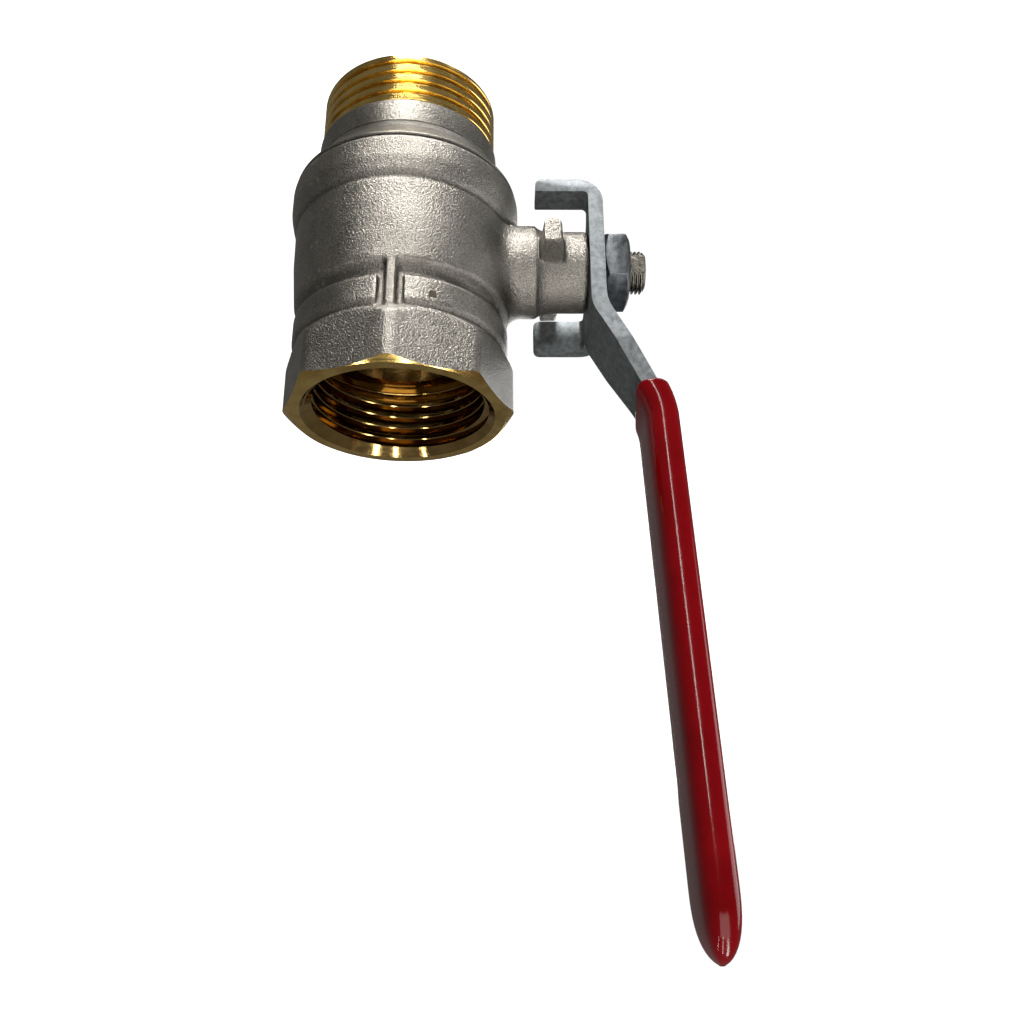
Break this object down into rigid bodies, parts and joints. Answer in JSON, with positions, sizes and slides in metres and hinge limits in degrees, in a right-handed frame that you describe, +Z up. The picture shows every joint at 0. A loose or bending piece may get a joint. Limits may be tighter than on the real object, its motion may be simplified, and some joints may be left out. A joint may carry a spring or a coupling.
{
  "type": "ball valve",
  "caption": "Quarter-turn brass ball valve with a male and a female pipe-thread port and a red-sleeved steel lever that swings a right angle to shut the flow.",
  "frame": {"origin": "centre of the ball, where the flow axis meets the stem axis", "axes": "+X along the flow, out of the female port, the way the open lever points; +Z up the stem; +Y completes the right-handed frame"},
  "size_m": [0.156, 0.0424, 0.0739],
  "materials": {
    "nickel_brass": "nickel plate over sand-blasted forged brass, raw brass in the machined port",
    "nickel_brass_connector": "nickel plate over turned brass, raw brass on the thread",
    "raw_brass": "machined brass",
    "stem_brass": "nickel-plated brass",
    "chromed_ball": "hard chrome, polished",
    "ptfe": "white PTFE",
    "rubber_seal": "black nitrile rubber",
    "zinc_steel": "zinc-plated steel strip",
    "zinc_nut": "dark zinc-plated steel",
    "red_vinyl": "glossy dipped vinyl"
  },
  "bodies": {
    "housing": {"valve_body": "nickel_brass", "end_connector": "nickel_brass_connector", "connector_o_ring": "rubber_seal", "seat_ring_female_side": "ptfe", "seat_ring_male_side": "ptfe", "thrust_washer": "ptfe", "packing_ring": "ptfe", "gland_nut": "raw_brass"},
    "operator": {"stem": "stem_brass", "stem_o_ring_lower": "rubber_seal", "stem_o_ring_upper": "rubber_seal", "lever": "zinc_steel", "grip": "red_vinyl", "handle_nut": "zinc_nut"},
    "ball": {"ball": "chromed_ball"}
  },
  "joints": [
    {"name": "lever_turn", "type": "hinge", "parent": "housing", "child": "operator", "pos_m": [0, 0, 0.034], "axis": [0, 0, 1], "range_deg": [-90, 0]},
    {"name": "ball_turn", "type": "hinge", "parent": "housing", "child": "ball", "pos_m": [0, 0, 0], "axis": [0, 0, 1], "range_deg": [-90, 0]}
  ],
  "couplings": [
    {"joint": "ball_turn", "follows": "lever_turn", "ratio": 1}
  ]
}
